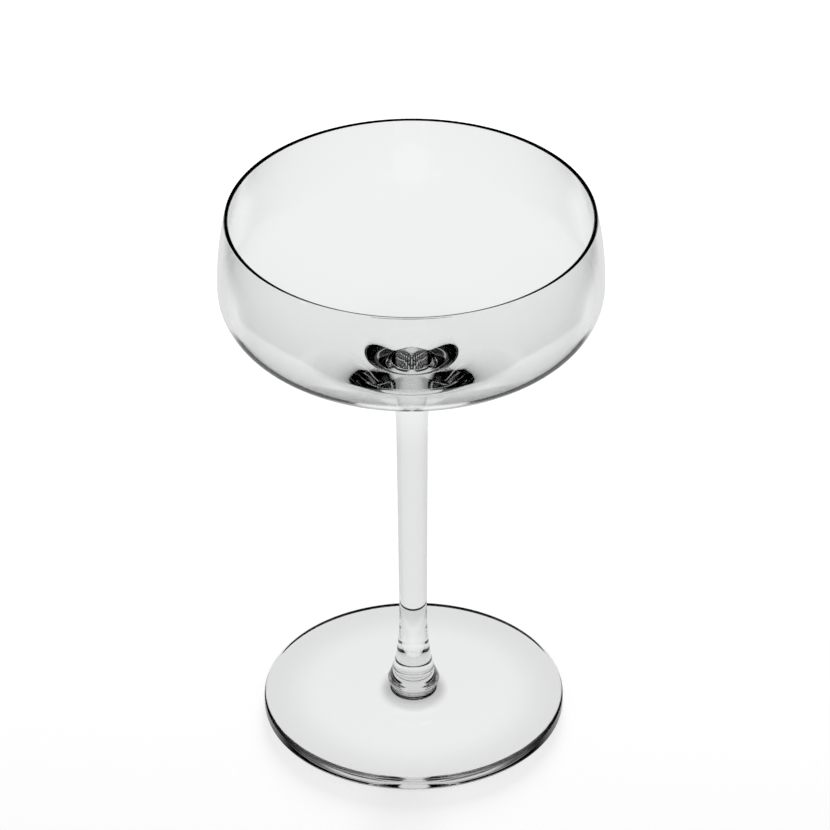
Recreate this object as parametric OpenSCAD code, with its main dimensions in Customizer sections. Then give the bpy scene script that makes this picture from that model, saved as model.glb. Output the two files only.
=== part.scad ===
// Coupe glass: a wide shallow bowl, a slender drawn stem and a disc foot, three pieces of clear
// glass that are fused hot. The origin is on the axis, in the plane that the foot stands on.

/* [Glass] */
// Height from the table to the top of the rim
glass_h = 153; // [140:1:170]

/* [Bowl] */
// Outer diameter at the rim
rim_d = 95; // [88:0.5:98]
// Outer diameter where the bowl is widest
bowl_d = 99.2; // [97:0.2:106]
// Height of the rim above the widest line of the bowl
side_h = 20; // [12:0.5:26]
// Outer radius of the corner between the side and the floor
corner_r = 12.1; // [8:0.1:15]
// Radius of the outside of the shallow floor
floor_r = 79.5; // [72:0.5:90]
// Thickness of the blown wall, from the rim down the side and along the floor
wall_t = 1; // [0.8:0.05:1.2]
// Thickness of the glass at the flat middle of the floor
base_t = 4.6; // [4.2:0.1:5.2]
// Radius of the hollow curve from the floor's wall to its flat middle
base_round = 33; // [26:1:40]

/* [Stem] */
// Diameter of the disc along which the stem's flare is fused under the bowl
flare_d = 25; // [20:0.5:30]
// Height over which the stem opens out under the bowl
flare_h = 24.1; // [18:0.1:30]
// Diameter of the stem just under its flare
stem_top_d = 8.14; // [7.2:0.02:9.5]
// Diameter of the flare at its shoulder, where it begins to spread under the bowl
shoulder_d = 10.3; // [9:0.1:14]
// Depth of the shoulder under the disc along which the flare is fused
shoulder_drop = 7; // [5:0.1:12]
// Diameter of the stem at its thinnest
stem_waist_d = 7.2; // [6:0.1:8]
// Height over which the stem opens out above its collar
trumpet_h = 22.4; // [14:0.2:30]
// Diameter of the rounded collar at the stem's lower end
collar_d = 13.6; // [12:0.1:16]
// Radius of the rounding under the collar
collar_round = 1.9; // [1.2:0.1:2.4]

/* [Foot] */
// Diameter of the foot
foot_d = 79.5; // [70:0.5:90]
// Thickness of the foot at its edge
foot_edge_t = 4; // [3:0.1:4.6]
// Thickness of the disc beside the collar
foot_centre_t = 4.9; // [4.7:0.1:6]
// Radius of the rounded top corner of the edge
edge_round = 1.2; // [0.6:0.1:1.6]
// Radius of the rounded bottom corner of the edge
heel_round = 0.8; // [0.4:0.1:1.2]
// Radius of the hollow curve between the disc and the collar
pad_round = 1.4; // [0.8:0.1:2]
// Width of the flat ring that the foot stands on
stand_w = 4; // [2:0.5:12]
// Rise of the hollow underside at the axis
hollow_h = 0.6; // [0.3:0.1:1.6]

/* [Hidden] */
$fn = 96;
glass_colour = [0.84, 0.9, 0.92];

// Degrees that one straight step turns, along the long curves and along the small roundings
curve_step = 3;
round_step = 15;
// Steps along each drawn-out curve of the stem
flare_steps = 12;

// Where each curve of the stem is steered, as shares of the distance that it spans
neck_low_share = 0.29;
neck_top_share = 0.116;
flare_low_share = 0.1;
flare_top_share = 0.173;
trumpet_low_share = 0.8;
trumpet_top_share = 0.05;
// Slope of the flare at its shoulder
shoulder_slope = 82;
// Angle that the rounding under the collar turns before it meets the foot's pad
collar_turn = 65;

// Bowl: the side's two faces share a centre at the widest line, and the lip closes them with a
// half round on the middle of the wall.
wide_r = bowl_d / 2;
wide_z = glass_h - side_h;
lip_r = wall_t / 2;
lean_in = (bowl_d - rim_d) / 2;
lip_rise = side_h - lip_r;
mid_side_r = (lip_rise * lip_rise + lean_in * lean_in) / (2 * lean_in);
side_r = mid_side_r + lip_r;
lean = asin(lip_rise / mid_side_r);
side_centre = [wide_r - side_r, wide_z];
lip_centre = side_centre + mid_side_r * [cos(lean), sin(lean)];

// The corner rolls inside the floor's sphere, whose centre is on the axis.
corner_centre = [wide_r - corner_r, wide_z];
floor_z = wide_z + sqrt(pow(floor_r - corner_r, 2) - pow(corner_centre[0], 2));
floor_join = atan2(floor_z - wide_z, corner_centre[0]);

// The inner corner and the inner floor keep the outer ones' centres, as far as the curve that
// rolls onto the flat middle.
inner_corner_r = corner_r - wall_t;
inner_floor_r = floor_r - wall_t;
base_top_z = floor_z - floor_r + base_t;
base_round_z = base_top_z + base_round;
base_round_x = sqrt(pow(inner_floor_r - base_round, 2) - pow(floor_z - base_round_z, 2));
base_join = atan2(floor_z - base_round_z, base_round_x);

// Seam of the bowl and the stem: a flat disc where the flare runs into the floor's curve
flare_r = flare_d / 2;
flare_slope = asin(flare_r / floor_r);
bowl_seam_z = floor_z - floor_r * cos(flare_slope);
shoulder = [shoulder_d / 2, bowl_seam_z - shoulder_drop];
shoulder_way = [cos(shoulder_slope), sin(shoulder_slope)];
neck_h = flare_h - shoulder_drop;
flare_span = norm([flare_r, bowl_seam_z] - shoulder);

// Foot: the disc's top rises to the middle, where a hollow curve meets the pad under the collar.
foot_r = foot_d / 2;
collar_r = collar_d / 2;
pad_r = collar_r - collar_round * (1 - cos(collar_turn));
foot_seam_z = foot_centre_t + pad_round;
collar_z = foot_seam_z + collar_round * sin(collar_turn);
stand_r = foot_r - heel_round - stand_w;
hollow_r = (stand_r * stand_r + hollow_h * hollow_h) / (2 * hollow_h);

// Points of an arc about a centre, from one angle to another
function arc(centre, r, from, to, step = curve_step) =
    let (n = ceil(abs(to - from) / step))
    [for (i = [0:n]) let (a = from + (to - from) * i / n) centre + r * [cos(a), sin(a)]];

// Points of the curve that leaves the first point towards the second and reaches the fourth from
// the third
function steered(p, n = flare_steps) =
    [for (i = [0:n]) let (t = i / n, u = 1 - t)
        u * u * u * p[0] + 3 * u * u * t * p[1] + 3 * u * t * t * p[2] + t * t * t * p[3]];

// The points of an outline without its first one, which the stretch before it already holds
function after_first(points) = [for (i = [1:len(points) - 1]) points[i]];

bowl_outer = concat(
    arc([0, floor_z], floor_r, flare_slope - 90, -floor_join),
    after_first(arc(corner_centre, corner_r, -floor_join, 0)),
    after_first(arc(side_centre, side_r, 0, lean))
);
lip = after_first(arc(lip_centre, lip_r, lean, lean + 180, round_step));
bowl_inner = concat(
    after_first(arc(side_centre, side_r - wall_t, lean, 0)),
    after_first(arc(corner_centre, inner_corner_r, 0, -floor_join)),
    after_first(arc([0, floor_z], inner_floor_r, -floor_join, -base_join)),
    after_first(arc([base_round_x, base_round_z], base_round, -base_join, -90)),
    [[0, base_top_z]]
);

// The neck leaves the stem upwards, and above the shoulder the flare runs out along the slope of
// the bowl's floor.
neck_curve = steered([
    [stem_top_d / 2, bowl_seam_z - flare_h],
    [stem_top_d / 2, bowl_seam_z - flare_h + neck_h * neck_low_share],
    shoulder - neck_h * neck_top_share * shoulder_way,
    shoulder
]);
flare_curve = steered([
    shoulder,
    shoulder + flare_span * flare_low_share * shoulder_way,
    [flare_r, bowl_seam_z] - flare_span * flare_top_share * [cos(flare_slope), sin(flare_slope)],
    [flare_r, bowl_seam_z]
]);

// The trumpet opens downwards and ends upright at the collar's widest line.
trumpet_curve = steered([
    [collar_r, collar_z],
    [collar_r, collar_z + trumpet_h * trumpet_top_share],
    [stem_waist_d / 2, collar_z + trumpet_h * (1 - trumpet_low_share)],
    [stem_waist_d / 2, collar_z + trumpet_h]
]);
collar_curve = arc([collar_r - collar_round, collar_z], collar_round, -collar_turn, 0, round_step);

module bowl() {
    color(glass_colour)
        rotate_extrude()
            polygon(concat([[0, bowl_seam_z]], bowl_outer, lip, bowl_inner));
}

module stem() {
    color(glass_colour)
        rotate_extrude()
            polygon(concat(
                [[0, foot_seam_z]],
                collar_curve,
                after_first(trumpet_curve),
                neck_curve,
                after_first(flare_curve),
                [[0, bowl_seam_z]]
            ));
}

module foot() {
    top_corner = [foot_r - edge_round, foot_edge_t - edge_round];
    bottom_corner = [foot_r - heel_round, heel_round];
    color(glass_colour)
        rotate_extrude()
            polygon(concat(
                arc([0, hollow_h - hollow_r], hollow_r, 90, acos(stand_r / hollow_r)),
                arc(bottom_corner, heel_round, -90, 0, round_step),
                arc(top_corner, edge_round, 0, 90, round_step),
                arc([pad_r + pad_round, foot_seam_z], pad_round, 270, 180, round_step),
                [[0, foot_seam_z]]
            ));
}

bowl();
stem();
foot();
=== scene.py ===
"""Looks of the coupe glass: its bowl, stem and foot of clear glass, fused hot, on a white light table."""
import logging
import math
from dataclasses import dataclass, field
from enum import Enum

import bpy
from mathutils import Matrix, Vector


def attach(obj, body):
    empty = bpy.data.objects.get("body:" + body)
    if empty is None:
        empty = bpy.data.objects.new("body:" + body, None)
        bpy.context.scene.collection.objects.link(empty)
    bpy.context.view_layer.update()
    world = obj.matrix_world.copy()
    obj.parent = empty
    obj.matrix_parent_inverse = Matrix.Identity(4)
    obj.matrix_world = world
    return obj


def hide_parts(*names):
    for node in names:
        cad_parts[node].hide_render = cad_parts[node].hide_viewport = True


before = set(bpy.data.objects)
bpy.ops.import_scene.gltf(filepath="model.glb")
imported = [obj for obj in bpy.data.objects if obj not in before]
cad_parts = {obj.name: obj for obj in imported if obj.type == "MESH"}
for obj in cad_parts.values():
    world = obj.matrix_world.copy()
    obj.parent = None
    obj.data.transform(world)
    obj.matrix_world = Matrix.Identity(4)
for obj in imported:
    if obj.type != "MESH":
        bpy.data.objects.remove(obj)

LOG = logging.getLogger("coupe_glass")
BODY = "root"
MM = 0.001
# Points of an outline that are nearer than this to each other, in metres, are one point
ONE_SPOT = 2e-6
# Whole numbers are told apart half a step off, clear of rounding
HALF_STEP = 0.5
# Mirrorings and passings through which a ray of light is followed in the glass
BOUNCES = 24

Point = tuple[float, float]
Triple = tuple[float, float, float]
Colour = tuple[float, float, float, float]
Socket = bpy.types.NodeSocket
Level = Socket | float
Filling = Level | Triple | Colour | str | bool
Outputs = bpy.types.bpy_prop_collection


def arc(centre: Point, radius: float, start: float, end: float, step: float) -> list[Point]:
    """Points of an arc in the half section.

    Args:
        centre: Radius and height of the arc's centre.
        radius: The arc's own radius.
        start: First angle, in degrees from the outward direction.
        end: Last angle, in degrees.
        step: Most degrees between two points.

    Returns:
        Points from the start to the end, both included.
    """
    count = max(2, math.ceil(abs(end - start) / step))
    angles = [math.radians(start + (end - start) * i / count) for i in range(count + 1)]
    return [(centre[0] + radius * math.cos(a), centre[1] + radius * math.sin(a)) for a in angles]


def steered(leave: Point, leave_by: Point, reach_by: Point, reach: Point, steps: int = 40) -> list[Point]:
    """Points of a curve that leaves one point towards a second and reaches the last from a third.

    Args:
        leave: Where the curve starts.
        leave_by: The point that steers its start.
        reach_by: The point that steers its end.
        reach: Where the curve ends.
        steps: Number of stretches between the points.

    Returns:
        Points from the start to the end, both included.
    """
    points = []
    for i in range(steps + 1):
        t = i / steps
        u = 1 - t
        weights = (u ** 3, 3 * u * u * t, 3 * u * t * t, t ** 3)
        guides = (leave, leave_by, reach_by, reach)
        points.append(tuple(sum(w * g[k] for w, g in zip(weights, guides)) for k in (0, 1)))
    return points


def straight(start: Point, end: Point, steps: int) -> list[Point]:
    """Points of a straight line, in even steps.

    Args:
        start: Where the line starts.
        end: Where it ends.
        steps: Number of stretches between the points.

    Returns:
        Points from the start to the end, both included.
    """
    across, up = end[0] - start[0], end[1] - start[1]
    return [(start[0] + across * i / steps, start[1] + up * i / steps) for i in range(steps + 1)]


def along(start: Point, slope: float, reach: float) -> Point:
    """The point at a reach from a start, along a slope in degrees."""
    angle = math.radians(slope)
    return (start[0] + reach * math.cos(angle), start[1] + reach * math.sin(angle))


class Stretch(Enum):
    """What one stretch of an outline is on the finished piece."""

    WALL = 0.0
    FUSED = 1.0


@dataclass
class Outline:
    """Half section of a turned piece, with what each stretch between two points is."""

    points: list[Point] = field(default_factory=list)
    stretches: list[Stretch] = field(default_factory=list)

    def run(self, points: list[Point], stretch: Stretch = Stretch.WALL) -> "Outline":
        """Adds points in millimetres, reached along one kind of stretch.

        Args:
            points: Radius and height of each point.
            stretch: What leads to these points from the one before.

        Returns:
            The outline itself.
        """
        for radius, height in points:
            spot = (radius * MM, height * MM)
            if self.points and math.dist(self.points[-1], spot) < ONE_SPOT:
                continue
            if self.points:
                self.stretches.append(stretch)
            self.points.append(spot)
        return self


@dataclass(frozen=True)
class Span:
    """Where one level gives way to another, in metres or in degrees."""

    start: float
    end: float


class Wiring:
    """Adds nodes to one tree and joins them."""

    def __init__(self, tree: bpy.types.NodeTree) -> None:
        """Keeps the tree, with its own nodes cleared away."""
        tree.nodes.clear()
        self.tree = tree

    def put(self, value: Filling, socket: Socket) -> None:
        """Links a socket to another one, or gives it a value of its own.

        Args:
            value: The socket that leads to it, or its own value.
            socket: The socket that is filled.
        """
        if isinstance(value, Socket):
            self.tree.links.new(value, socket)
        else:
            socket.default_value = value

    def node(self, kind: str, inputs: dict[str | int, Filling] | None = None,
             **choices: str | bpy.types.NodeTree) -> bpy.types.Node:
        """Adds one node.

        Args:
            kind: The node's type.
            inputs: What fills its inputs, by their name or their place.
            choices: The node's own choices, such as its operation.

        Returns:
            The node.
        """
        node = self.tree.nodes.new(kind)
        for name, choice in choices.items():
            setattr(node, name, choice)
        for name, value in (inputs or {}).items():
            self.put(value, node.inputs[name])
        return node

    def maths(self, operation: str, *values: Level) -> Socket:
        """Reckons with numbers or sockets by one Math node."""
        return self.node("ShaderNodeMath", dict(enumerate(values)), operation=operation).outputs[0]

    def flat(self, place: Socket) -> Socket:
        """A place or a way with its height left out."""
        inputs = {0: place, 1: (1.0, 1.0, 0.0)}
        return self.node("ShaderNodeVectorMath", inputs, operation="MULTIPLY").outputs["Vector"]

    def length(self, place: Socket) -> Socket:
        """The distance of a place from the origin."""
        return self.node("ShaderNodeVectorMath", {0: place}, operation="LENGTH").outputs["Value"]

    def least(self, depth: Socket, times: int) -> Socket:
        """Whether a ray's depth is at least a number of times."""
        return self.maths("GREATER_THAN", depth, times - HALF_STEP)

    def ramp(self, value: Socket, span: Span, first: Level, last: Level) -> Socket:
        """Goes smoothly from one level to another while a value rises.

        Args:
            value: The value that rises.
            span: Where the first level ends and the last one begins.
            first: Level up to the span.
            last: Level past the span.

        Returns:
            The level.
        """
        inputs = {
            "Value": value,
            "From Min": span.start,
            "From Max": span.end,
            "To Min": first,
            "To Max": last,
        }
        return self.node("ShaderNodeMapRange", inputs, interpolation_type="SMOOTHSTEP").outputs["Result"]

    def choose(self, share: Level, first: Level, second: Level) -> Socket:
        """The first level where the share is 0, and the second where it is 1."""
        return self.node("ShaderNodeMix", {"Factor": share, "A": first, "B": second}).outputs["Result"]

    def blend(self, share: Socket, first: Socket, second: Socket) -> Socket:
        """The first shader where the share is 0, and the second where it is 1."""
        return self.node("ShaderNodeMixShader", {"Fac": share, 1: first, 2: second}).outputs[0]


def declare(tree: bpy.types.NodeTree, inputs: dict[str, str], output: tuple[str, str]) -> None:
    """Gives a node group its inputs and its output.

    Args:
        tree: The group's tree.
        inputs: Kind of each input, by its name.
        output: Name and kind of the output.
    """
    for name, kind in inputs.items():
        tree.interface.new_socket(name, in_out="INPUT", socket_type="NodeSocket" + kind)
    tree.interface.new_socket(output[0], in_out="OUTPUT", socket_type="NodeSocket" + output[1])


def grey(level: float) -> Colour:
    """An opaque grey."""
    return (level, level, level, 1.0)


def start_material(name: str) -> tuple[bpy.types.Material, Wiring]:
    """Starts a node material.

    Args:
        name: The material's name.

    Returns:
        The material, and the wiring of its empty tree.
    """
    material = bpy.data.materials.new(name)
    material.use_nodes = True
    return material, Wiring(material.node_tree)


@dataclass
class Lathe:
    """Turns an outline about the axis with a Geometry Nodes tree.

    The weld is a distance in metres. Each stretch of an outline has a mark, and where an edge's own
    mark is within the rim's reach of the middle one, it parts a fused face from a wall.
    """

    segments: int = 384
    weld: float = 1e-6
    mark: str = "fused"
    rim_reach: float = 0.4
    tree: bpy.types.GeometryNodeTree = field(init=False)

    def __post_init__(self) -> None:
        """Builds the lathe's tree."""
        self.tree = self.build_tree()

    def build_tree(self) -> bpy.types.GeometryNodeTree:
        """Builds the tree that turns, marks, closes and dresses an outline.

        Returns:
            The tree, with its inputs named.
        """
        tree = bpy.data.node_groups.new("turn on the axis", "GeometryNodeTree")
        inputs = {
            "Outline": "Geometry",
            "Segments": "Int",
            "Weld Distance": "Float",
            "Glass": "Material",
            "Seam": "Material",
        }
        declare(tree, inputs, ("Piece", "Geometry"))
        wiring = Wiring(tree)
        given = wiring.node("NodeGroupInput").outputs
        size = wiring.node("GeometryNodeAttributeDomainSize", {"Geometry": given["Outline"]})
        rows = size.outputs["Point Count"]
        turned = self.turn_grid(wiring, given, rows)
        marked = self.mark_faces(wiring, given, rows, turned)
        wiring.node("NodeGroupOutput", {"Piece": self.close(wiring, given, marked)})
        return tree

    def count_off(self, wiring: Wiring, group: Socket) -> tuple[Socket, Socket]:
        """Splits the running index into groups of one size.

        Args:
            wiring: The tree's wiring.
            group: Size of a group.

        Returns:
            Number of the group, and the place in it.
        """
        index = wiring.node("GeometryNodeInputIndex").outputs[0]
        middle = wiring.maths("ADD", index, HALF_STEP)
        number = wiring.maths("FLOOR", wiring.maths("DIVIDE", middle, group))
        return number, wiring.maths("SUBTRACT", index, wiring.maths("MULTIPLY", number, group))

    def sample(self, wiring: Wiring, outline: Socket, value: Socket, index: Socket, kind: str) -> Socket:
        """Takes a value from one point of the outline.

        Args:
            wiring: The tree's wiring.
            outline: The outline.
            value: What is taken.
            index: Number of the point.
            kind: Type of the value.

        Returns:
            The value.
        """
        inputs = {"Geometry": outline, "Value": value, "Index": index}
        return wiring.node("GeometryNodeSampleIndex", inputs, data_type=kind).outputs[0]

    def marks(self, wiring: Wiring) -> Socket:
        """The mark of a stretch of the outline, or of the face that it becomes."""
        inputs = {"Name": self.mark}
        return wiring.node("GeometryNodeInputNamedAttribute", inputs, data_type="FLOAT").outputs["Attribute"]

    def turn_grid(self, wiring: Wiring, given: Outputs, rows: Socket) -> Socket:
        """Makes a grid whose rows take the outline's points, turned column by column.

        Args:
            wiring: The tree's wiring.
            given: The tree's inputs.
            rows: Number of points in the outline.

        Returns:
            The turned grid, still open where it meets itself.
        """
        columns = wiring.maths("ADD", given["Segments"], 1.0)
        grid = wiring.node("GeometryNodeMeshGrid", {"Vertices X": columns, "Vertices Y": rows})
        column, row = self.count_off(wiring, rows)
        place = wiring.node("GeometryNodeInputPosition").outputs[0]
        point = self.sample(wiring, given["Outline"], place, row, "FLOAT_VECTOR")
        angle = wiring.maths("DIVIDE", wiring.maths("MULTIPLY", column, math.tau), given["Segments"])
        inputs = {"Vector": point, "Angle": angle}
        turned = wiring.node("ShaderNodeVectorRotate", inputs, rotation_type="Z_AXIS")
        inputs = {"Geometry": grid.outputs["Mesh"], "Position": turned.outputs[0]}
        return wiring.node("GeometryNodeSetPosition", inputs).outputs[0]

    def mark_faces(self, wiring: Wiring, given: Outputs, rows: Socket, turned: Socket) -> Socket:
        """Marks each face with what its stretch of the outline is.

        Args:
            wiring: The tree's wiring.
            given: The tree's inputs.
            rows: Number of points in the outline.
            turned: The turned grid.

        Returns:
            The marked grid.
        """
        stretch = self.count_off(wiring, wiring.maths("SUBTRACT", rows, 1.0))[1]
        mark = self.sample(wiring, given["Outline"], self.marks(wiring), stretch, "FLOAT")
        inputs = {"Geometry": turned, "Name": self.mark, "Value": mark}
        keep = wiring.node("GeometryNodeStoreNamedAttribute", inputs, data_type="FLOAT", domain="FACE")
        return keep.outputs[0]

    def close(self, wiring: Wiring, given: Outputs, marked: Socket) -> Socket:
        """Closes the grid to one smooth skin, sharp round each seam, and dresses it.

        Args:
            wiring: The tree's wiring.
            given: The tree's inputs.
            marked: The marked grid.

        Returns:
            The finished piece.
        """
        inputs = {"Geometry": marked, "Distance": given["Weld Distance"]}
        weld = wiring.node("GeometryNodeMergeByDistance", inputs)
        smooth = wiring.node("GeometryNodeSetShadeSmooth", {"Geometry": weld.outputs[0]})
        beside = wiring.node("GeometryNodeFieldOnDomain", {"Value": self.marks(wiring)}, domain="EDGE")
        between = (Stretch.WALL.value + Stretch.FUSED.value) / 2
        rim = wiring.maths("COMPARE", beside.outputs[0], between, self.rim_reach)
        inputs = {"Geometry": smooth.outputs[0], "Selection": rim, "Shade Smooth": False}
        sharp = wiring.node("GeometryNodeSetShadeSmooth", inputs, domain="EDGE")
        real = wiring.node("GeometryNodeRealizeInstances", {"Geometry": sharp.outputs[0]})
        inputs = {"Geometry": real.outputs[0], "Material": given["Glass"]}
        wall = wiring.node("GeometryNodeSetMaterial", inputs)
        inputs = {"Geometry": wall.outputs[0], "Selection": self.marks(wiring), "Material": given["Seam"]}
        return wiring.node("GeometryNodeSetMaterial", inputs).outputs[0]

    def lay(self, name: str, outline: Outline) -> bpy.types.Object:
        """Lays an outline down as an open mesh, with the mark of each stretch at its first point.

        Args:
            name: The object's name.
            outline: The half section.

        Returns:
            The outline's object.
        """
        mesh = bpy.data.meshes.new(name)
        edges = [(i, i + 1) for i in range(len(outline.stretches))]
        mesh.from_pydata([(r, 0.0, z) for r, z in outline.points], edges, [])
        marks = [s.value for s in outline.stretches] + [Stretch.WALL.value]
        mesh.attributes.new(self.mark, "FLOAT", "POINT").data.foreach_set("value", marks)
        laid = bpy.data.objects.new(name, mesh)
        bpy.context.scene.collection.objects.link(laid)
        return laid

    def turn(self, name: str, outline: Outline, glass: bpy.types.Material,
             seam: bpy.types.Material) -> bpy.types.Object:
        """Turns an outline into a closed plain mesh.

        Args:
            name: The finished object's name.
            outline: The half section to turn.
            glass: Material of the wall.
            seam: Material of the faces along which two pieces are fused.

        Returns:
            The finished object, at the origin.
        """
        laid = self.lay(name + "_section", outline)
        section = laid.data
        turned = laid.modifiers.new("turn", "NODES")
        turned.node_group = self.tree
        values = {"Segments": self.segments, "Weld Distance": self.weld, "Glass": glass, "Seam": seam}
        for item in self.tree.interface.items_tree:
            if item.in_out == "INPUT" and item.name in values:
                turned[item.identifier] = values[item.name]
        dg = bpy.context.evaluated_depsgraph_get()
        mesh = bpy.data.meshes.new_from_object(laid.evaluated_get(dg), depsgraph=dg)
        bpy.data.objects.remove(laid)
        bpy.data.meshes.remove(section)
        mesh.name = name
        # The laid outline has no material, so the tree leaves the first slot empty
        mesh.materials.pop(index=0)
        piece = bpy.data.objects.new(name, mesh)
        bpy.context.scene.collection.objects.link(piece)
        LOG.info("%s: %d points, %d faces", name, len(mesh.vertices), len(mesh.polygons))
        return piece


@dataclass(frozen=True)
class HotRipple:
    """The faint unevenness of hot-worked glass: a drawn noise, with the rings of its turning in it."""

    detail: float = 2.0
    roughness: float = 0.45
    ring_bend: float = 6.0
    ring_detail: float = 1.0
    ring_detail_scale: float = 0.6
    ring_share: float = 0.35

    def make(self) -> bpy.types.ShaderNodeTree:
        """Builds the node group, whose height each glass scales for itself.

        Returns:
            The group, with inputs Vector, Scale, Rings and Draw, and output Height.
        """
        group = bpy.data.node_groups.new("hot worked ripple", "ShaderNodeTree")
        inputs = {"Vector": "Vector", "Scale": "Float", "Rings": "Float", "Draw": "Vector"}
        declare(group, inputs, ("Height", "Float"))
        wiring = Wiring(group)
        given = wiring.node("NodeGroupInput").outputs
        ways = {0: given["Vector"], 1: given["Draw"]}
        drawn = wiring.node("ShaderNodeVectorMath", ways, operation="MULTIPLY")
        noise = wiring.node("ShaderNodeTexNoise", {
            "Vector": drawn.outputs[0],
            "Scale": given["Scale"],
            "Detail": self.detail,
            "Roughness": self.roughness,
        })
        rings = wiring.node("ShaderNodeTexWave", {
            "Vector": given["Vector"],
            "Scale": given["Rings"],
            "Distortion": self.ring_bend,
            "Detail": self.ring_detail,
            "Detail Scale": self.ring_detail_scale,
        }, wave_type="RINGS", rings_direction="Z")
        height = wiring.choose(self.ring_share, noise.outputs["Fac"], rings.outputs["Fac"])
        wiring.node("NodeGroupOutput", {"Height": height})
        return group


class Along(Enum):
    """The way along which painted light or shade on a glass changes."""

    HEIGHT = "height"
    RADIUS = "radius"


@dataclass(frozen=True)
class Shade:
    """A smooth step of light or shade painted into a glass's colour along one way, over a span in metres."""

    way: Along
    span: Span
    first: float
    last: float

    def painted_shading(self, wiring: Wiring, place: Socket) -> Socket:
        """Adds the step's nodes.

        Args:
            wiring: Wiring of the material's tree.
            place: The place on the piece.

        Returns:
            The level of painted light or shade at that place.
        """
        if self.way is Along.HEIGHT:
            gone = wiring.node("ShaderNodeSeparateXYZ", {0: place}).outputs["Z"]
        else:
            gone = wiring.length(wiring.flat(place))
        # Painted light or shade: a level that scales the glass's colour
        return wiring.ramp(gone, self.span, self.first, self.last)


@dataclass(frozen=True)
class ClearGlass:
    """Clear fire-polished glass with the faint ripple of its making, and steps of painted light or shade in
    its colour.
    """

    name: str
    ripple_scale: float
    ring_scale: float
    draw: Triple
    ripple_depth: float
    # Steps of painted light or shade in the glass's colour
    painted_shades: tuple[Shade, ...] = ()
    ior: float = 1.52
    tint: Triple = (0.985, 0.99, 0.99)
    shadow_tint: float = 0.7

    def make(self, ripple: bpy.types.ShaderNodeTree) -> bpy.types.Material:
        """Builds the material.

        Args:
            ripple: The shared ripple group.

        Returns:
            The node material.
        """
        material, wiring = start_material(self.name)
        place = wiring.node("ShaderNodeTexCoord").outputs["Object"]
        inputs = {"Vector": place, "Scale": self.ripple_scale, "Rings": self.ring_scale, "Draw": self.draw}
        height = wiring.node("ShaderNodeGroup", inputs, node_tree=ripple)
        bump = wiring.node("ShaderNodeBump", {
            "Strength": 1.0,
            "Distance": self.ripple_depth,
            "Height": height.outputs["Height"],
        })
        colour = wiring.node("ShaderNodeRGB").outputs[0]
        colour.default_value = (*self.tint, 1.0)
        # Each step paints light or shade into the glass's colour
        for shade in self.painted_shades:
            inputs = {0: colour, "Scale": shade.painted_shading(wiring, place)}
            colour = wiring.node("ShaderNodeVectorMath", inputs, operation="SCALE").outputs[0]
        glass = wiring.node("ShaderNodeBsdfPrincipled", {
            "Base Color": colour,
            "Roughness": 0.0,
            "IOR": self.ior,
            "Transmission Weight": 1.0,
            "Normal": bump.outputs["Normal"],
        })
        clear = wiring.node("ShaderNodeBsdfTransparent", {"Color": grey(self.shadow_tint)})
        shadow = wiring.node("ShaderNodeLightPath").outputs["Is Shadow Ray"]
        mixed = wiring.blend(shadow, glass.outputs[0], clear.outputs[0])
        wiring.node("ShaderNodeOutputMaterial", {"Surface": mixed})
        return material


@dataclass(frozen=True)
class FusedSeam:
    """The face along which two pieces are fused hot: nothing of it shows in the finished glass."""

    name: str = "fused_seam"

    def make(self) -> bpy.types.Material:
        """Builds the material, which light passes unbent.

        Returns:
            The node material.
        """
        material, wiring = start_material(self.name)
        clear = wiring.node("ShaderNodeBsdfTransparent")
        wiring.node("ShaderNodeOutputMaterial", {"Surface": clear.outputs[0]})
        return material


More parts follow.
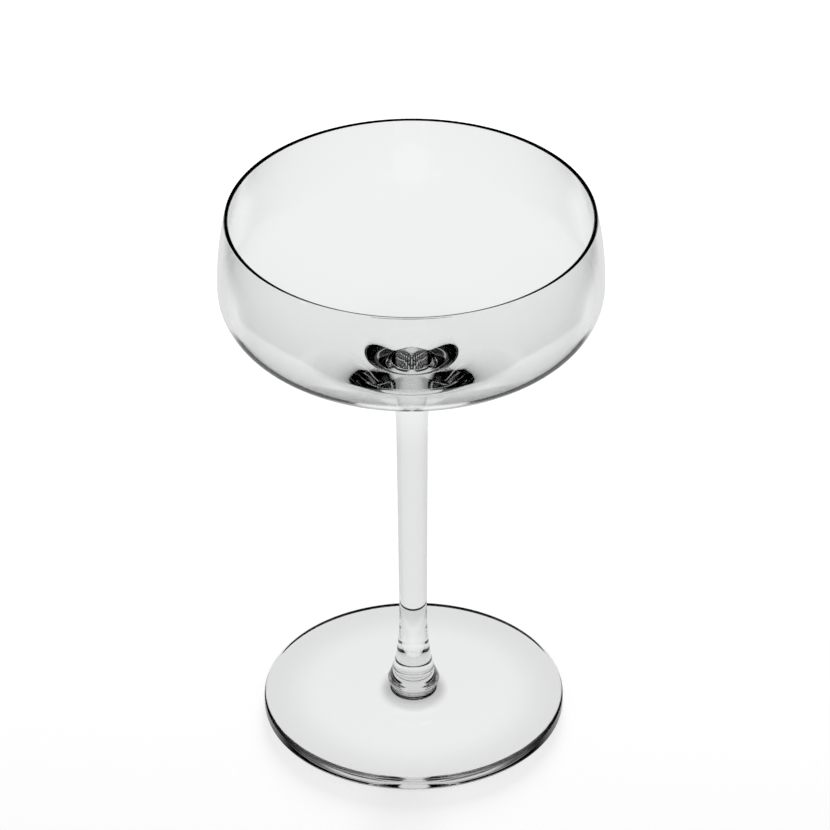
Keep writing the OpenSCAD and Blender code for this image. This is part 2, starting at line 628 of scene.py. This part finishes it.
@dataclass
class Bowl:
    """The blown bowl: sizes in millimetres from the plane that the glass stands on, steps in degrees."""

    glass_h: float = 153.0
    rim_d: float = 95.0
    bowl_d: float = 99.2
    side_h: float = 20.0
    corner_r: float = 12.1
    floor_r: float = 79.5
    wall_t: float = 1.0
    base_t: float = 4.6
    base_round: float = 33.0
    flare_d: float = 25.0
    long_step: float = 0.7
    corner_step: float = 2.0
    lip_step: float = 10.0
    seam_step: float = 0.05
    base_steps: int = 12

    @property
    def floor_z(self) -> float:
        """Height of the centre of the floor's sphere."""
        reach = self.bowl_d / 2 - self.corner_r
        return self.glass_h - self.side_h + math.sqrt((self.floor_r - self.corner_r) ** 2 - reach ** 2)

    @property
    def seam_slope(self) -> float:
        """Slope of the floor where the stem's flare joins it, in degrees."""
        return math.degrees(math.asin(self.flare_d / 2 / self.floor_r))

    @property
    def seam_z(self) -> float:
        """Height of the seam between the bowl and the stem."""
        return self.floor_z - self.floor_r * math.cos(math.radians(self.seam_slope))

    def outline(self) -> Outline:
        """Builds the half section, from the seam round the outside and the lip to the inner floor.

        Returns:
            The outline.
        """
        wide = (self.bowl_d / 2, self.glass_h - self.side_h)
        lip_r = self.wall_t / 2
        lean_in = (self.bowl_d - self.rim_d) / 2
        lip_rise = self.side_h - lip_r
        mid_r = (lip_rise ** 2 + lean_in ** 2) / (2 * lean_in)
        lean = math.degrees(math.asin(lip_rise / mid_r))
        side = (wide[0] - mid_r - lip_r, wide[1])
        lip = (side[0] + mid_r * math.cos(math.radians(lean)), side[1] + lip_rise)
        corner = (wide[0] - self.corner_r, wide[1])
        floor = (0.0, self.floor_z)
        join = math.degrees(math.atan2(self.floor_z - wide[1], corner[0]))
        inner_r = self.floor_r - self.wall_t
        base_z = self.floor_z - self.floor_r + self.base_t
        rise = self.floor_z - base_z - self.base_round
        roll = (math.sqrt((inner_r - self.base_round) ** 2 - rise ** 2), base_z + self.base_round)
        base_join = math.degrees(math.atan2(rise, roll[0]))
        seam = self.seam_slope - 90
        beside = seam + self.seam_step
        made = Outline().run([(0.0, self.seam_z)])
        made.run([(self.flare_d / 2, self.seam_z)], Stretch.FUSED)
        made.run(arc(floor, self.floor_r, seam, beside, self.seam_step))
        made.run(arc(floor, self.floor_r, beside, -join, self.long_step))
        made.run(arc(corner, self.corner_r, -join, 0.0, self.corner_step))
        made.run(arc(side, mid_r + lip_r, 0.0, lean, self.long_step))
        made.run(arc(lip, lip_r, lean, lean + 180, self.lip_step))
        made.run(arc(side, mid_r - lip_r, lean, 0.0, self.long_step))
        made.run(arc(corner, self.corner_r - self.wall_t, 0.0, -join, self.corner_step))
        made.run(arc(floor, inner_r, -join, -base_join, self.long_step))
        made.run(arc(roll, self.base_round, -base_join, -90.0, self.long_step))
        made.run(straight((roll[0], base_z), (0.0, base_z), self.base_steps))
        return made


@dataclass
class Stem:
    """The drawn stem, with its flare above and its collar below, in millimetres and degrees."""

    seam_z: float
    slope: float
    flare_d: float
    foot_seam_z: float
    flare_h: float = 24.1
    top_d: float = 8.14
    shoulder_d: float = 10.3
    shoulder_drop: float = 7.0
    shoulder_slope: float = 82.0
    waist_d: float = 7.2
    trumpet_h: float = 22.4
    collar_d: float = 13.6
    collar_round: float = 1.9
    collar_turn: float = 65.0
    collar_step: float = 4.0
    neck_low: float = 0.29
    neck_top: float = 0.116
    flare_low: float = 0.1
    flare_top: float = 0.173
    trumpet_low: float = 0.8
    trumpet_top: float = 0.05

    @property
    def pad_r(self) -> float:
        """Radius of the seam between the stem and the foot."""
        return self.collar_d / 2 - self.collar_round * (1 - math.cos(math.radians(self.collar_turn)))

    def outline(self) -> Outline:
        """Builds the half section, from the foot's seam up the outside to the bowl's seam.

        Returns:
            The outline.
        """
        collar = self.collar_d / 2
        collar_z = self.foot_seam_z + self.collar_round * math.sin(math.radians(self.collar_turn))
        waist, top = self.waist_d / 2, self.top_d / 2
        trumpet = steered(
            (collar, collar_z),
            (collar, collar_z + self.trumpet_h * self.trumpet_top),
            (waist, collar_z + self.trumpet_h * (1 - self.trumpet_low)),
            (waist, collar_z + self.trumpet_h),
        )
        neck_z = self.seam_z - self.flare_h
        neck_h = self.flare_h - self.shoulder_drop
        bend = (self.shoulder_d / 2, self.seam_z - self.shoulder_drop)
        rim = (self.flare_d / 2, self.seam_z)
        span = math.dist(bend, rim)
        neck = steered(
            (top, neck_z),
            (top, neck_z + neck_h * self.neck_low),
            along(bend, self.shoulder_slope, -neck_h * self.neck_top),
            bend,
        )
        flare = steered(
            bend,
            along(bend, self.shoulder_slope, span * self.flare_low),
            along(rim, self.slope, -span * self.flare_top),
            rim,
        )
        rounding = (collar - self.collar_round, collar_z)
        made = Outline().run([(0.0, self.foot_seam_z)])
        made.run([(self.pad_r, self.foot_seam_z)], Stretch.FUSED)
        made.run(arc(rounding, self.collar_round, -self.collar_turn, 0.0, self.collar_step))
        made.run(trumpet)
        made.run(neck)
        made.run(flare)
        made.run([(0.0, self.seam_z)], Stretch.FUSED)
        return made


@dataclass
class Foot:
    """The disc foot, with its rounded edge and hollow underside, in millimetres and degrees."""

    foot_d: float = 79.5
    edge_t: float = 4.0
    centre_t: float = 4.9
    edge_round: float = 1.2
    heel_round: float = 0.8
    pad_round: float = 1.4
    stand_w: float = 4.0
    hollow_h: float = 0.6
    hollow_step: float = 0.1
    round_step: float = 7.5
    top_steps: int = 24

    @property
    def seam_z(self) -> float:
        """Height of the seam between the foot and the stem."""
        return self.centre_t + self.pad_round

    def outline(self, pad_r: float) -> Outline:
        """Builds the half section, from the hollow underside round the edge to the pad.

        Args:
            pad_r: Radius of the pad on which the stem is fused.

        Returns:
            The outline.
        """
        edge = (self.foot_d / 2 - self.edge_round, self.edge_t - self.edge_round)
        heel = (self.foot_d / 2 - self.heel_round, self.heel_round)
        stand = heel[0] - self.stand_w
        hollow_r = (stand ** 2 + self.hollow_h ** 2) / (2 * self.hollow_h)
        hollow_end = math.degrees(math.acos(stand / hollow_r))
        pad = (pad_r + self.pad_round, self.seam_z)
        hollow = (0.0, self.hollow_h - hollow_r)
        made = Outline().run(arc(hollow, hollow_r, 90.0, hollow_end, self.hollow_step))
        made.run(arc(heel, self.heel_round, -90.0, 0.0, self.round_step))
        made.run(arc(edge, self.edge_round, 0.0, 90.0, self.round_step))
        made.run(straight((edge[0], self.edge_t), (pad[0], self.centre_t), self.top_steps))
        made.run(arc(pad, self.pad_round, 270.0, 180.0, self.round_step))
        made.run([(0.0, self.seam_z)], Stretch.FUSED)
        return made


@dataclass
class CoupeGlass:
    """The whole glass: the three pieces and their finishes."""

    bowl: Bowl = field(default_factory=Bowl)
    foot: Foot = field(default_factory=Foot)
    bowl_glass: ClearGlass = ClearGlass(
        name="bowl_glass", ripple_scale=38.0, ring_scale=20.0, draw=(1.0, 1.0, 3.0), ripple_depth=0.00001,
    )
    stem_glass: ClearGlass = ClearGlass(
        name="stem_glass", ripple_scale=160.0, ring_scale=20.0, draw=(1.0, 1.0, 0.12), ripple_depth=0.000006,
        # Painted shade: greys the drawn shaft from 20 mm up, fading out again from 78 to 98 mm
        painted_shades=(
            Shade(Along.HEIGHT, Span(0.02, 0.032), first=1.0, last=0.88),
            Shade(Along.HEIGHT, Span(0.078, 0.098), first=1.0, last=1.13),
        ),
    )
    foot_glass: ClearGlass = ClearGlass(
        name="foot_glass", ripple_scale=45.0, ring_scale=30.0, draw=(1.0, 1.0, 1.0), ripple_depth=0.00002,
        # Painted shade: a dark ring round the collar, and the outer disc greyed towards its edge
        painted_shades=(
            Shade(Along.RADIUS, Span(0.0066, 0.0098), first=0.6, last=1.0),
            Shade(Along.RADIUS, Span(0.024, 0.038), first=1.0, last=0.88),
        ),
    )

    def build(self) -> list[bpy.types.Object]:
        """Turns the three pieces and puts each in place of its node.

        Returns:
            The finished pieces.
        """
        stem = Stem(self.bowl.seam_z, self.bowl.seam_slope, self.bowl.flare_d, self.foot.seam_z)
        lathe, ripple, seam = Lathe(), HotRipple().make(), FusedSeam().make()
        made = {
            "bowl": (self.bowl.outline(), self.bowl_glass),
            "stem": (stem.outline(), self.stem_glass),
            "foot": (self.foot.outline(stem.pad_r), self.foot_glass),
        }
        pieces = []
        for node, (outline, finish) in made.items():
            piece = lathe.turn("glass_" + node, outline, finish.make(ripple), seam)
            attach(piece, BODY)
            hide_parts(node)
            pieces.append(piece)
        return pieces


@dataclass(frozen=True)
class LightTable:
    """The white light table, in metres. Rays that the glass has mirrored pass it but for two patches.

    The patch near the foot is met by rays mirrored once, and the patch in front by those mirrored twice.
    """

    name: str = "light_table"
    radius: float = 1.5
    sides: int = 96
    drop: float = 0.0001
    colour: float = 0.5
    glow: float = 0.56
    through_glass: float = 0.97
    patch_level: float = 0.95
    near_patch: Span = Span(0.034, 0.038)
    front_patch: Span = Span(0.11, 0.13)
    front_end: Span = Span(-0.01, 0.01)

    def plain(self, wiring: Wiring, path: Outputs) -> Socket:
        """The table where nothing mirrors it.

        Args:
            wiring: Wiring of the material's tree.
            path: What the ray has been through.

        Returns:
            A matt glowing surface, or an even light where the ray has come through glass.
        """
        matt = wiring.node("ShaderNodeBsdfDiffuse", {"Color": grey(self.colour)})
        glow = wiring.node("ShaderNodeEmission", {"Strength": self.glow})
        seen = wiring.node("ShaderNodeAddShader", {0: matt.outputs[0], 1: glow.outputs[0]})
        through = wiring.node("ShaderNodeEmission", {"Strength": self.through_glass})
        passed = wiring.least(path["Transmission Depth"], 1)
        return wiring.blend(passed, seen.outputs[0], through.outputs[0])

    def mirrored(self, wiring: Wiring, depth: Socket) -> Socket:
        """The table where the glass mirrors it.

        Args:
            wiring: Wiring of the material's tree.
            depth: How often the ray has been mirrored.

        Returns:
            A glowing patch, and nothing outside it.
        """
        place = wiring.node("ShaderNodeTexCoord").outputs["Object"]
        away = wiring.length(place)
        back = wiring.node("ShaderNodeSeparateXYZ", {0: place}).outputs["Y"]
        near = wiring.ramp(away, self.near_patch, 1.0, 0.0)
        front = wiring.ramp(away, self.front_patch, 1.0, 0.0)
        front = wiring.ramp(back, self.front_end, front, 0.0)
        patch = wiring.choose(wiring.least(depth, 2), near, front)
        patch = wiring.choose(wiring.least(depth, 3), patch, 0.0)
        clear = wiring.node("ShaderNodeBsdfTransparent")
        glow = wiring.node("ShaderNodeEmission", {"Strength": self.patch_level})
        return wiring.blend(patch, clear.outputs[0], glow.outputs[0])

    def make(self) -> bpy.types.Object:
        """Makes the table and dresses it.

        Returns:
            The staged disc.
        """
        material, wiring = start_material(self.name)
        path = wiring.node("ShaderNodeLightPath").outputs
        depth = path["Glossy Depth"]
        plain, mirrored = self.plain(wiring, path), self.mirrored(wiring, depth)
        surface = wiring.blend(wiring.least(depth, 1), plain, mirrored)
        wiring.node("ShaderNodeOutputMaterial", {"Surface": surface})
        mesh = bpy.data.meshes.new(self.name)
        angles = [math.tau * i / self.sides for i in range(self.sides)]
        ring = [(self.radius * math.cos(a), self.radius * math.sin(a), -self.drop) for a in angles]
        mesh.from_pydata(ring, [], [tuple(range(self.sides))])
        mesh.materials.append(material)
        table = bpy.data.objects.new(self.name, mesh)
        bpy.context.scene.collection.objects.link(table)
        return table


class Heading(Wiring):
    """The wiring of a world's tree, which knows the direction that a ray looks in."""

    def __init__(self, tree: bpy.types.NodeTree) -> None:
        """Adds the nodes that find the direction.

        Args:
            tree: The world's tree.
        """
        super().__init__(tree)
        way = self.node("ShaderNodeTexCoord").outputs["Generated"]
        self.up = self.node("ShaderNodeSeparateXYZ", {0: way}).outputs["Z"]
        level = self.node("ShaderNodeVectorMath", {0: self.flat(way)}, operation="NORMALIZE")
        self.back = self.node("ShaderNodeSeparateXYZ", {0: level.outputs["Vector"]}).outputs["Y"]

    def rising(self, span: Span, first: Level, last: Level) -> Socket:
        """Goes from one level to another over a span of degrees above the table."""
        sines = Span(math.sin(math.radians(span.start)), math.sin(math.radians(span.end)))
        return self.ramp(self.up, sines, first, last)

    def turning(self, span: Span, first: Level, last: Level) -> Socket:
        """Goes from one level to another over a span of degrees to both sides of straight behind."""
        cosines = Span(math.cos(math.radians(span.end)), math.cos(math.radians(span.start)))
        return self.ramp(self.back, cosines, last, first)


@dataclass(frozen=True)
class Room:
    """The room's light, by the way that a ray looks and by how often the glass has mirrored it.

    A rise is a span of degrees above the table, and a side one to both sides of straight behind.
    """

    camera_level: float = 1.0
    ambient: float = 0.45
    seen_through: float = 0.93
    seen_rise: Span = Span(15.0, 30.0)
    bright: float = 0.95
    dark: float = 0.0
    screen_side: Span = Span(24.0, 44.0)
    screen_rise: Span = Span(8.0, 12.0)
    outer_side: Span = Span(45.0, 75.0)
    outer_rise: Span = Span(-30.0, -24.0)
    shade_level: float = 0.04
    shade_side: Span = Span(3.0, 14.0)
    shade_rise: Span = Span(-42.0, -37.0)
    faint: float = 0.05
    apron_middle: float = 0.8
    apron_level: float = 0.45
    apron_side: Span = Span(2.0, 36.0)
    apron_flank: Span = Span(45.0, 65.0)
    apron_front: Span = Span(120.0, 140.0)
    apron_rise: Span = Span(-46.0, -40.0)
    under_side: Span = Span(18.0, 34.0)
    under_rise: Span = Span(-68.0, -61.0)
    strip_side: Span = Span(7.0, 10.0)
    broad_side: Span = Span(11.2, 16.0)
    window_level: float = 0.5
    window_start: Span = Span(101.0, 103.0)
    window_end: Span = Span(109.0, 111.0)
    overhead_side: Span = Span(45.0, 60.0)
    overhead_rise: Span = Span(48.0, 53.0)

    def once(self, sky: Heading, screen: Socket) -> Socket:
        """What a ray sees that the glass has mirrored once.

        Args:
            sky: Wiring of the world's tree.
            screen: Level of the bright screen behind.

        Returns:
            The screen, the wider light under it, the shade below that, and dark above.
        """
        shade = sky.turning(self.shade_side, self.bright, self.shade_level)
        outer = sky.turning(self.outer_side, self.bright, self.dark)
        below = sky.rising(self.shade_rise, shade, sky.rising(self.outer_rise, outer, screen))
        return sky.rising(self.screen_rise, below, self.dark)

    def again(self, sky: Heading, screen: Socket, depth: Socket) -> Socket:
        """What a ray sees that the glass has mirrored more than once.

        Args:
            sky: Wiring of the world's tree.
            screen: Level of the bright screen behind.
            depth: How often the ray has been mirrored.

        Returns:
            The screen, the apron under it, the strip and the side window above it, and the overhead light.
        """
        often = sky.least(depth, 5)
        apron = sky.turning(self.apron_side, self.apron_middle, self.apron_level)
        apron = sky.turning(self.apron_flank, apron, sky.choose(often, self.apron_level, self.faint))
        apron = sky.turning(self.apron_front, apron, self.apron_level)
        under = sky.turning(self.under_side, self.bright, sky.choose(often, self.bright, self.faint))
        under = sky.rising(self.under_rise, under, apron)
        below = sky.rising(self.apron_rise, under, screen)
        window = sky.turning(self.window_end, self.window_level, self.dark)
        window = sky.turning(self.window_start, self.dark, window)
        strip = sky.turning(self.strip_side, self.bright, window)
        broad = sky.turning(self.broad_side, self.bright, window)
        strip = sky.choose(sky.least(depth, 3), strip, broad)
        overhead = sky.turning(self.overhead_side, self.bright, self.dark)
        return sky.rising(self.overhead_rise, sky.rising(self.screen_rise, below, strip), overhead)

    def light(self) -> None:
        """Lights the room: white for the camera, even straight through the glass, parted in mirrorings."""
        world = bpy.data.worlds.new("studio")
        bpy.context.scene.world = world
        world.use_nodes = True
        sky = Heading(world.node_tree)
        path = sky.node("ShaderNodeLightPath").outputs
        depth = path["Glossy Depth"]
        screen = sky.turning(self.screen_side, self.bright, self.dark)
        mirrored = sky.choose(sky.least(depth, 2), self.once(sky, screen), self.again(sky, screen, depth))
        through = sky.rising(self.seen_rise, self.seen_through, self.dark)
        level = sky.choose(sky.least(depth, 1), through, mirrored)
        level = sky.choose(sky.least(path["Diffuse Depth"], 1), level, self.ambient)
        level = sky.choose(path["Is Camera Ray"], level, self.camera_level)
        light = sky.node("ShaderNodeBackground", {"Strength": level})
        sky.node("ShaderNodeOutputWorld", {"Surface": light.outputs[0]})


@dataclass(frozen=True)
class SoftLamp:
    """The soft lamp behind the glass, which gives the shadow in front of the foot: metres and watts."""

    size: float = 0.5
    energy: float = 27.0
    place: Triple = (0.08, 1.2, 0.42)
    aim: Triple = (0.0, 0.0, 0.02)

    def hang(self) -> None:
        """Hangs the lamp, out of the glass's reflections."""
        lamp = bpy.data.lights.new("soft_lamp", "AREA")
        lamp.shape = "DISK"
        lamp.size = self.size
        lamp.energy = self.energy
        holder = bpy.data.objects.new("soft_lamp", lamp)
        holder.location = self.place
        way = Vector(self.aim) - Vector(self.place)
        holder.rotation_euler = way.to_track_quat("-Z", "Y").to_euler()
        holder.visible_glossy = False
        holder.visible_transmission = False
        bpy.context.scene.collection.objects.link(holder)


@dataclass(frozen=True)
class PhotoCamera:
    """The photograph's viewpoint, found from the glass's ellipses: metres, degrees, and the lens in mm."""

    distance: float = 1.4142
    height: float = 1.0508
    aside: float = 0.00078
    pitch: float = 34.139
    roll: float = -0.33
    lens: float = 286.18
    sensor: float = 36.0
    nearest: float = 0.05

    def place(self) -> None:
        """Makes the camera and gives it to the scene."""
        camera = bpy.data.cameras.new("photo_camera")
        camera.lens = self.lens
        camera.sensor_width = self.sensor
        camera.clip_start = self.nearest
        holder = bpy.data.objects.new("photo_camera", camera)
        lift = Matrix.Rotation(math.radians(90 - self.pitch), 4, "X")
        tip = Matrix.Rotation(math.radians(self.roll), 4, "Z")
        holder.matrix_world = Matrix.Translation((self.aside, -self.distance, self.height)) @ (lift @ tip)
        bpy.context.scene.collection.objects.link(holder)
        bpy.context.scene.camera = holder


def main() -> None:
    """Builds the glass and its studio."""
    logging.basicConfig(level=logging.INFO, format="%(name)s: %(message)s")
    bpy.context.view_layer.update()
    scene = bpy.context.scene
    scene.view_settings.view_transform = "Standard"
    pieces = CoupeGlass().build()
    LOG.info("%d pieces made", len(pieces))
    LightTable().make()
    Room().light()
    SoftLamp().hang()
    PhotoCamera().place()
    scene.cycles.max_bounces = BOUNCES
    scene.cycles.transmission_bounces = BOUNCES
    scene.cycles.glossy_bounces = BOUNCES
    scene.cycles.transparent_max_bounces = BOUNCES


if __name__ == "__main__":
    main()
